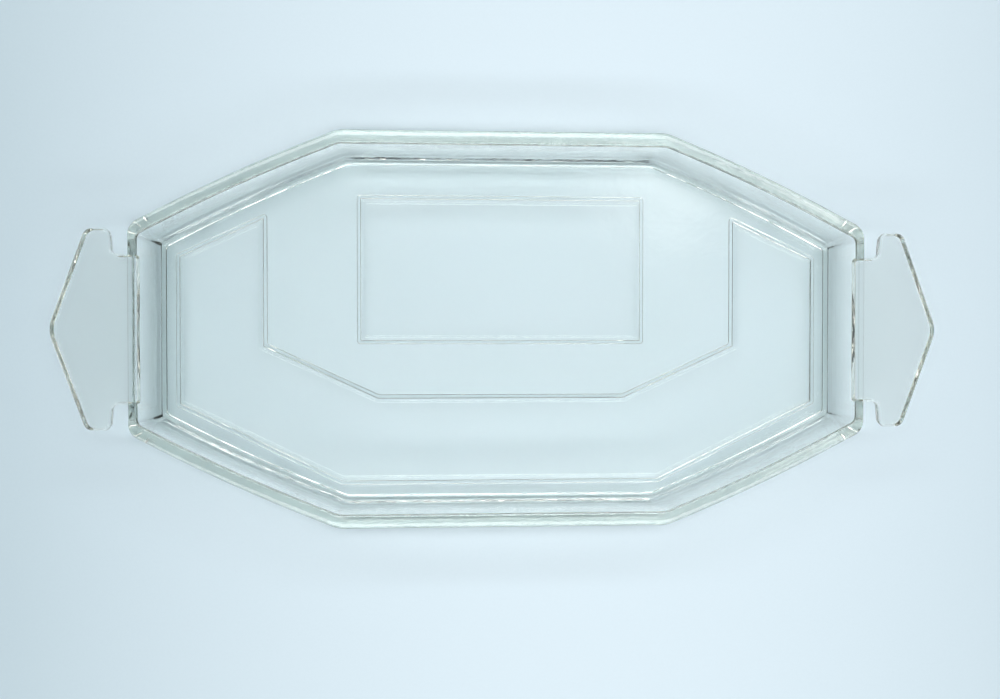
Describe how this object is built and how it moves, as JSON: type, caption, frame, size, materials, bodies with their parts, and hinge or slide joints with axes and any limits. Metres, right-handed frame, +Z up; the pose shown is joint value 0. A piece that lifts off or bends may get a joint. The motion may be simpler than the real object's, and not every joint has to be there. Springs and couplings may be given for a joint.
{
  "type": "pressed glass tray",
  "caption": "Shallow elongated octagonal pressed-glass tray with a pointed flat tab handle at each end and a geometric panel relief under its floor.",
  "frame": {"origin": "middle of the tray, in the plane on which its standing rim rests", "axes": "+X along the tray from handle to handle, +Y towards the long wall beside the rectangular relief panel, +Z up out of the tray"},
  "size_m": [0.3494, 0.1554, 0.024],
  "materials": {
    "glass": "fire-polished clear pressed glass with a faint green tint"
  },
  "bodies": {
    "root": {"floor_panel": "glass", "end_wall_right": "glass", "corner_wall_back_right": "glass", "long_wall_back": "glass", "corner_wall_back_left": "glass", "end_wall_left": "glass", "corner_wall_front_left": "glass", "long_wall_front": "glass", "corner_wall_front_right": "glass", "handle_right": "glass", "handle_left": "glass"}
  },
  "joints": []
}
